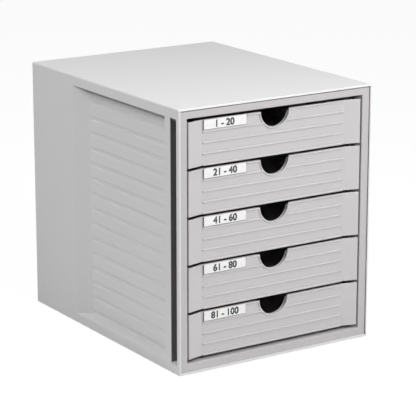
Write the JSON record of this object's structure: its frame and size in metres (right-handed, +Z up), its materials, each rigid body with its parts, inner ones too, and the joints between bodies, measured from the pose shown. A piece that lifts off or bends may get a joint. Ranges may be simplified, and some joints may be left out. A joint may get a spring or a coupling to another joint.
{
  "type": "desktop drawer box",
  "caption": "Closed desktop box with a column of shallow drawers for paper, finger notches and label pockets, for sorting forms and files on a desk.",
  "frame": {"origin": "on the floor under the middle of the case", "axes": "+Z up, the drawer fronts face -Y and +X is to the right of someone facing them"},
  "size_m": [0.275, 0.35, 0.32],
  "materials": {
    "case_plastic": "fine satin moulded polystyrene, light grey",
    "drawer_plastic": "fine satin moulded polystyrene, light grey",
    "inner_plastic": "satin moulded polystyrene, grey, inside the case",
    "foot_rubber": "matt",
    "label_clear": "clear, glossy",
    "label_card": "white card, matt"
  },
  "bodies": {
    "case": {"top_cover": "case_plastic", "base_panel": "case_plastic", "back_panel": "case_plastic", "front_frame": "case_plastic", "left_side_panel": "case_plastic", "right_side_panel": "case_plastic", "left_runner_panel": "inner_plastic", "right_runner_panel": "inner_plastic", "foot_front_left": "foot_rubber", "foot_front_right": "foot_rubber", "foot_rear_left": "foot_rubber", "foot_rear_right": "foot_rubber"},
    "drawer_1": {"drawer_1_tray": "drawer_plastic", "drawer_1_front": "drawer_plastic", "drawer_1_label_holder": "label_clear", "drawer_1_label_card": "label_card"},
    "drawer_2": {"drawer_2_tray": "drawer_plastic", "drawer_2_front": "drawer_plastic", "drawer_2_label_holder": "label_clear", "drawer_2_label_card": "label_card"},
    "drawer_3": {"drawer_3_tray": "drawer_plastic", "drawer_3_front": "drawer_plastic", "drawer_3_label_holder": "label_clear", "drawer_3_label_card": "label_card"},
    "drawer_4": {"drawer_4_tray": "drawer_plastic", "drawer_4_front": "drawer_plastic", "drawer_4_label_holder": "label_clear", "drawer_4_label_card": "label_card"},
    "drawer_5": {"drawer_5_tray": "drawer_plastic", "drawer_5_front": "drawer_plastic", "drawer_5_label_holder": "label_clear", "drawer_5_label_card": "label_card"}
  },
  "joints": [
    {"name": "drawer_1_slide", "type": "slide", "parent": "case", "child": "drawer_1", "axis": [0, -1, 0], "range_m": [0, 0.25]},
    {"name": "drawer_2_slide", "type": "slide", "parent": "case", "child": "drawer_2", "axis": [0, -1, 0], "range_m": [0, 0.25]},
    {"name": "drawer_3_slide", "type": "slide", "parent": "case", "child": "drawer_3", "axis": [0, -1, 0], "range_m": [0, 0.25]},
    {"name": "drawer_4_slide", "type": "slide", "parent": "case", "child": "drawer_4", "axis": [0, -1, 0], "range_m": [0, 0.25]},
    {"name": "drawer_5_slide", "type": "slide", "parent": "case", "child": "drawer_5", "axis": [0, -1, 0], "range_m": [0, 0.25]}
  ]
}
